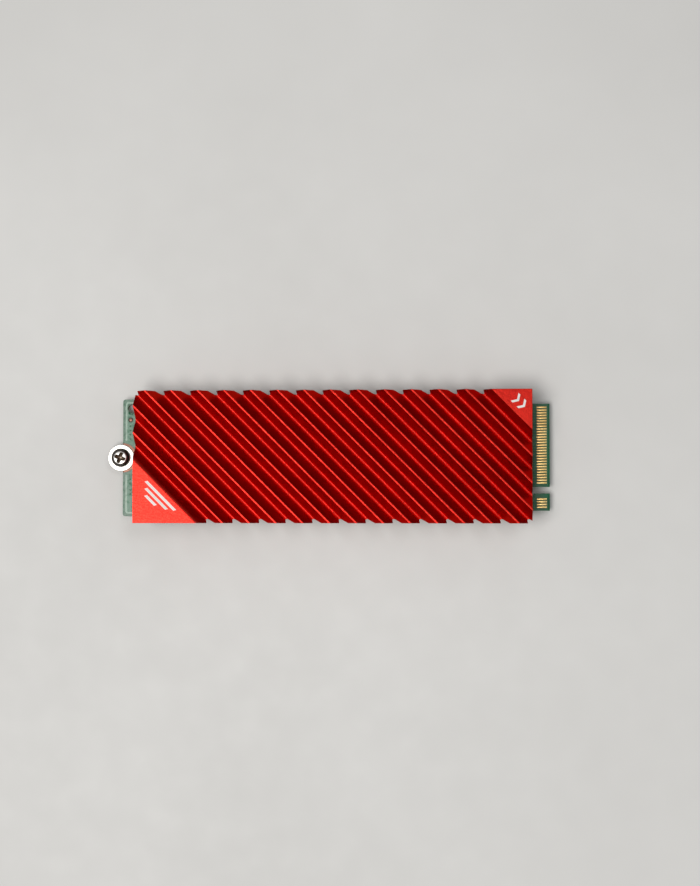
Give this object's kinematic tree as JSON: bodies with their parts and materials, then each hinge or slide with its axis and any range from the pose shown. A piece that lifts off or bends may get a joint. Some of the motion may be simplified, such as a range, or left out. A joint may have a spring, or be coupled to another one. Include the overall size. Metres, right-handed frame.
{
  "type": "solid state drive",
  "caption": "Card-edge solid state drive with a red anodised heatsink of diagonal V-grooves and a captive-washer retaining screw in its half-round end notch.",
  "frame": {"origin": "bottom centre of the whole assembly's bounding box, on the underside of the rear label", "axes": "+X from the screw end to the edge connector, +Y across the board away from the connector's key, +Z out of the heatsink's grooved face"},
  "size_m": [0.0828, 0.0244, 0.0094],
  "materials": {
    "anodised_red": "red anodised, finely blasted and satin, with brighter machined crests",
    "solder_mask": "green solder mask over copper traces on glass-fibre board",
    "gold": "gold-plated copper contact",
    "copper": "bare plated copper",
    "nickel_steel": "bright nickel-plated steel",
    "mould_black": "fine-grained black epoxy mould",
    "substrate_green": "green package substrate",
    "solder": "dull solder",
    "tin": "tin-plated terminal",
    "ceramic_tan": "tan ceramic",
    "ceramic_cream": "cream ceramic",
    "resistor_black": "glazed black resistive film",
    "ferrite_grey": "pressed grey ferrite",
    "pad_grey": "soft grey silicone thermal pad",
    "label_white": "printed film label, blank of words",
    "print_white": "white printed mark"
  },
  "bodies": {
    "drive": {"heatsink": "anodised_red", "thermal_pad": "pad_grey", "circuit_board": "solder_mask", "capacitor_terminals_bottom": "tin", "capacitor_terminals_top": "tin", "capacitors_bottom": "ceramic_tan", "capacitors_top": "ceramic_tan", "controller_balls": "solder", "controller_mould": "mould_black", "controller_substrate": "substrate_green", "crystal_base": "ceramic_cream", "crystal_can": "nickel_steel", "dram_1_balls": "solder", "dram_1_mould": "mould_black", "dram_1_substrate": "substrate_green", "dram_2_balls": "solder", "dram_2_mould": "mould_black", "dram_2_substrate": "substrate_green", "edge_contacts_bottom": "gold", "edge_contacts_top": "gold", "fiducial_marks": "copper", "firmware_flash": "mould_black", "firmware_flash_leads": "tin", "inductor_cores": "ferrite_grey", "inductor_terminals": "tin", "load_switch": "mould_black", "load_switch_leads": "tin", "nand_1_balls": "solder", "nand_1_mould": "mould_black", "nand_1_substrate": "substrate_green", "nand_2_balls": "solder", "nand_2_mould": "mould_black", "nand_2_substrate": "substrate_green", "nand_3_balls": "solder", "nand_3_mould": "mould_black", "nand_3_substrate": "substrate_green", "nand_4_balls": "solder", "nand_4_mould": "mould_black", "nand_4_substrate": "substrate_green", "polymer_capacitor_terminals": "tin", "polymer_capacitors": "mould_black", "power_manager": "mould_black", "power_manager_pads": "tin", "rear_label": "label_white", "resistor_terminals_bottom": "tin", "resistor_terminals_top": "tin", "resistors_bottom": "resistor_black", "resistors_top": "resistor_black", "screw_land_bottom": "copper", "screw_land_top": "copper", "test_pads": "gold"},
    "washer": {"captive_washer": "nickel_steel"},
    "screw": {"retaining_screw": "nickel_steel"}
  },
  "joints": [
    {"name": "screw_lift", "type": "slide", "parent": "drive", "child": "washer", "axis": [0, 0, 1], "range_m": [0, 0.0024]},
    {"name": "screw_turn", "type": "hinge", "parent": "washer", "child": "screw", "pos_m": [-0.0389, 0, 0.00259], "axis": [0, 0, 1], "range_deg": [0, 2160]}
  ],
  "couplings": [
    {"joint": "screw_turn", "follows": "screw_lift", "rad_per_m": 15708}
  ]
}
